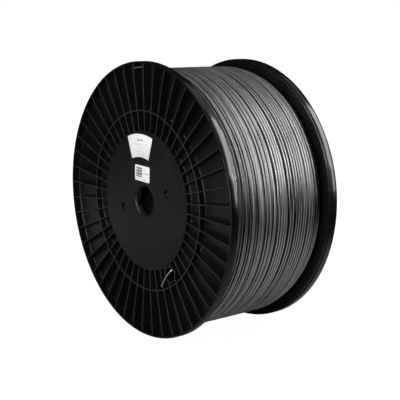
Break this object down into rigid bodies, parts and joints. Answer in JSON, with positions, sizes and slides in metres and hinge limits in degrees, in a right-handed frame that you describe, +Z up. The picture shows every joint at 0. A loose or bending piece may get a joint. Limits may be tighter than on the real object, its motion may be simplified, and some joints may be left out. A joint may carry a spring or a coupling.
{
  "type": "filament spool",
  "caption": "Large spool of wound printer filament: ribbed black flanges on a drum, with a central spindle bore, drive holes and a filament well.",
  "frame": {"origin": "centre of the spindle bore, midway between the two flanges", "axes": "+Y along the spindle axis from the labelled flange to the rear one, +Z up through the labels, +X to the right as seen from the labelled flange"},
  "size_m": [0.355, 0.171, 0.355],
  "materials": {
    "flange": "satin black moulding",
    "drum": "satin black tube",
    "spindle_tube": "satin black tube",
    "filament": "silver-grey filament with a metallic sheen",
    "fan_label": "white printed label",
    "code_label": "white printed label"
  },
  "bodies": {
    "root": {"front_flange": "flange", "rear_flange": "flange", "drum": "drum", "spindle_tube": "spindle_tube", "filament_core": "filament", "filament_outer_layer": "filament", "filament_start_tail": "filament", "filament_end_tail": "filament", "fan_label": "fan_label", "code_label": "code_label"}
  },
  "joints": []
}
